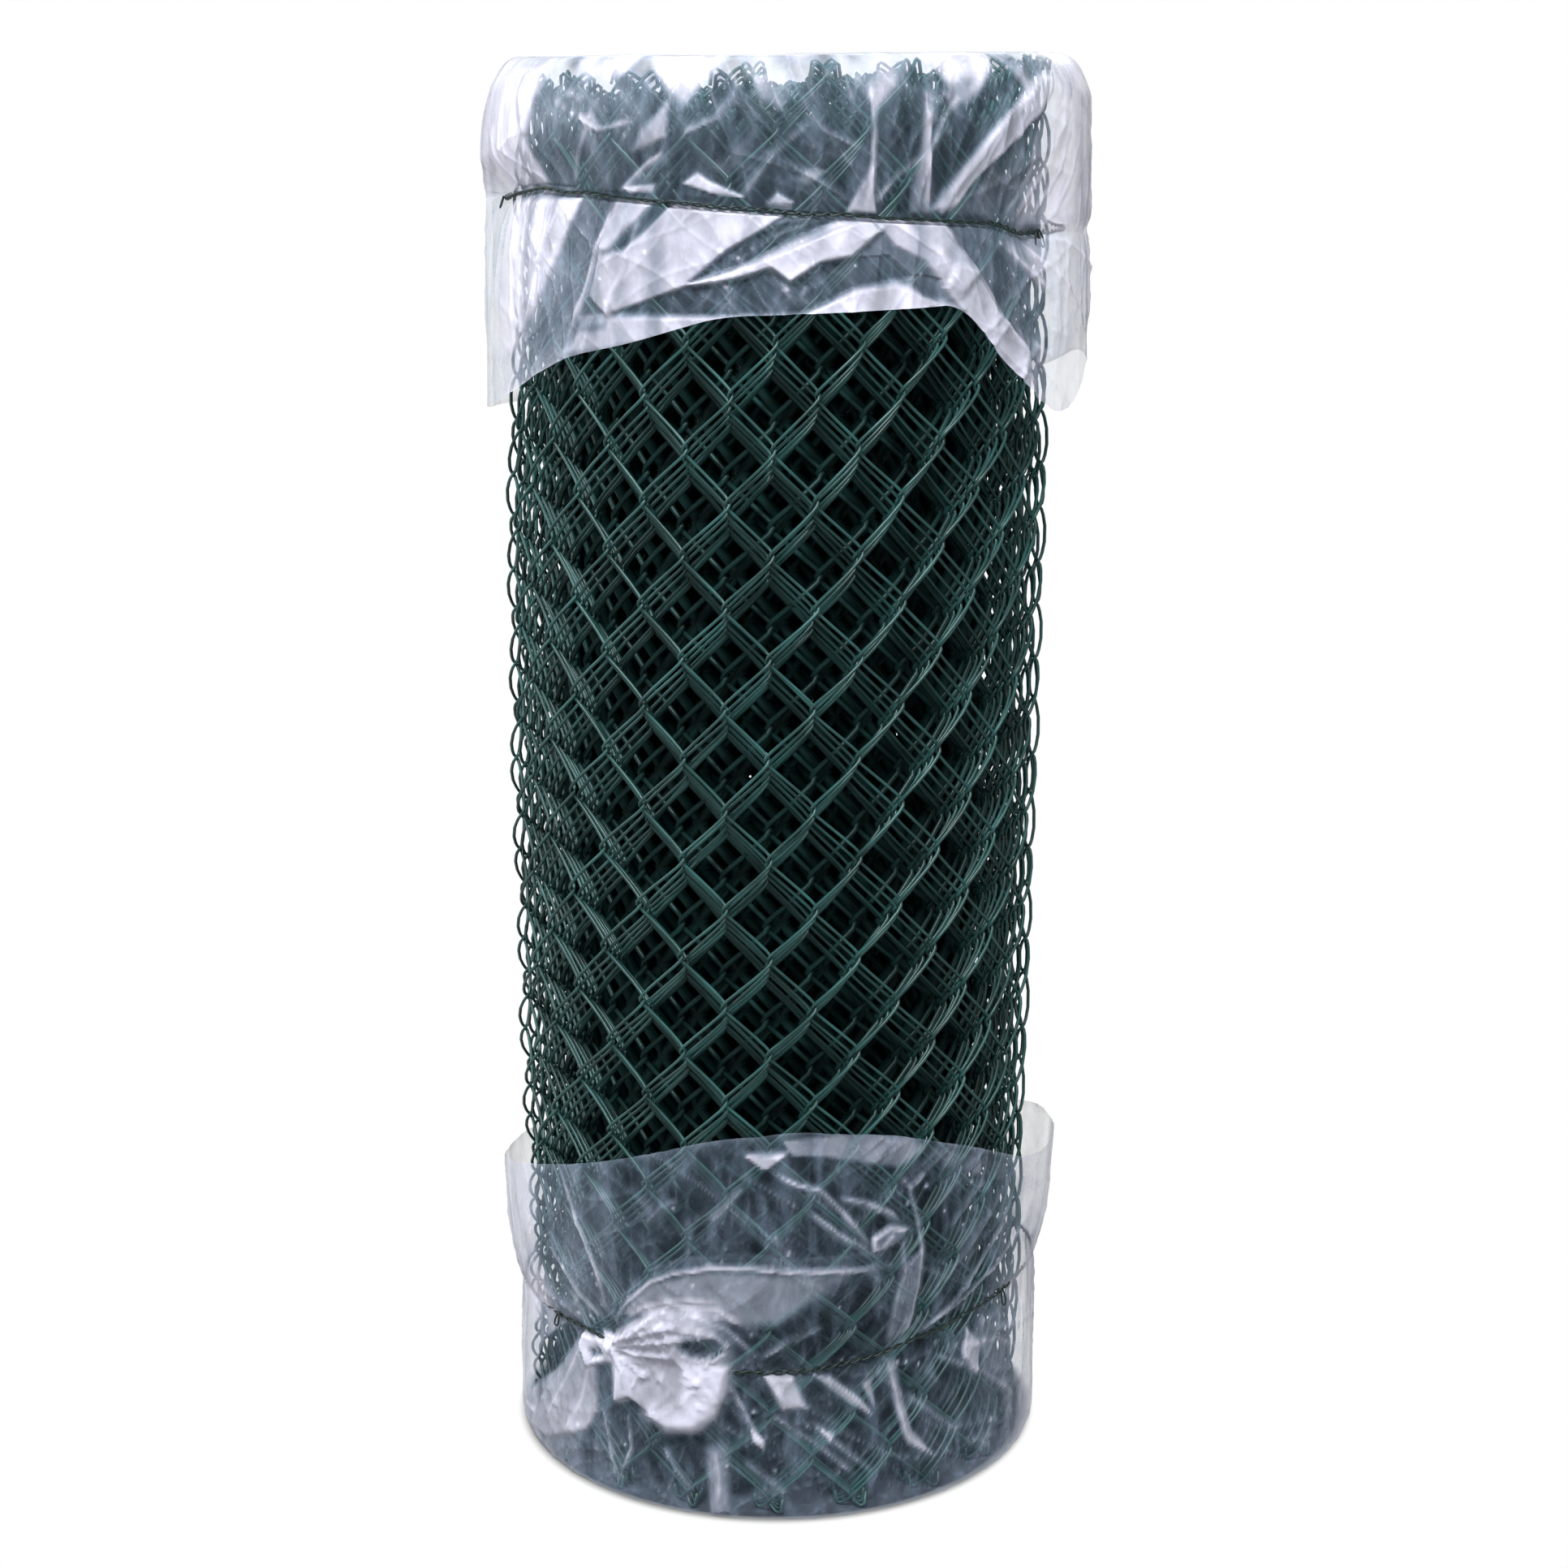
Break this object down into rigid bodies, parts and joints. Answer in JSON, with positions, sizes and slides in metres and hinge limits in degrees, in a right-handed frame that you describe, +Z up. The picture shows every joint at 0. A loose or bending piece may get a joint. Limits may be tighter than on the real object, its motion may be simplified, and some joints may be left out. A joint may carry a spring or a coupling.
{
  "type": "roll of chain link fencing",
  "caption": "Upright roll of dark green coated chain link fence mesh with an open core, clear film bags over both ends and a wire tie round each bag.",
  "frame": {"origin": "on the floor at the centre of the roll's foot", "axes": "+Z up along the roll's axis, -Y to the front that shows the tie ends on its right, +X to the right"},
  "size_m": [0.51, 0.5084, 1.222],
  "materials": {
    "green_coated_wire": "satin plastic coating on wire",
    "clear_film": "hazy creased film",
    "tie_wire": "satin coated wire"
  },
  "bodies": {
    "root": {"fence_roll": "green_coated_wire", "top_bag": "clear_film", "bottom_bag": "clear_film", "top_tie": "tie_wire", "bottom_tie": "tie_wire"}
  },
  "joints": []
}
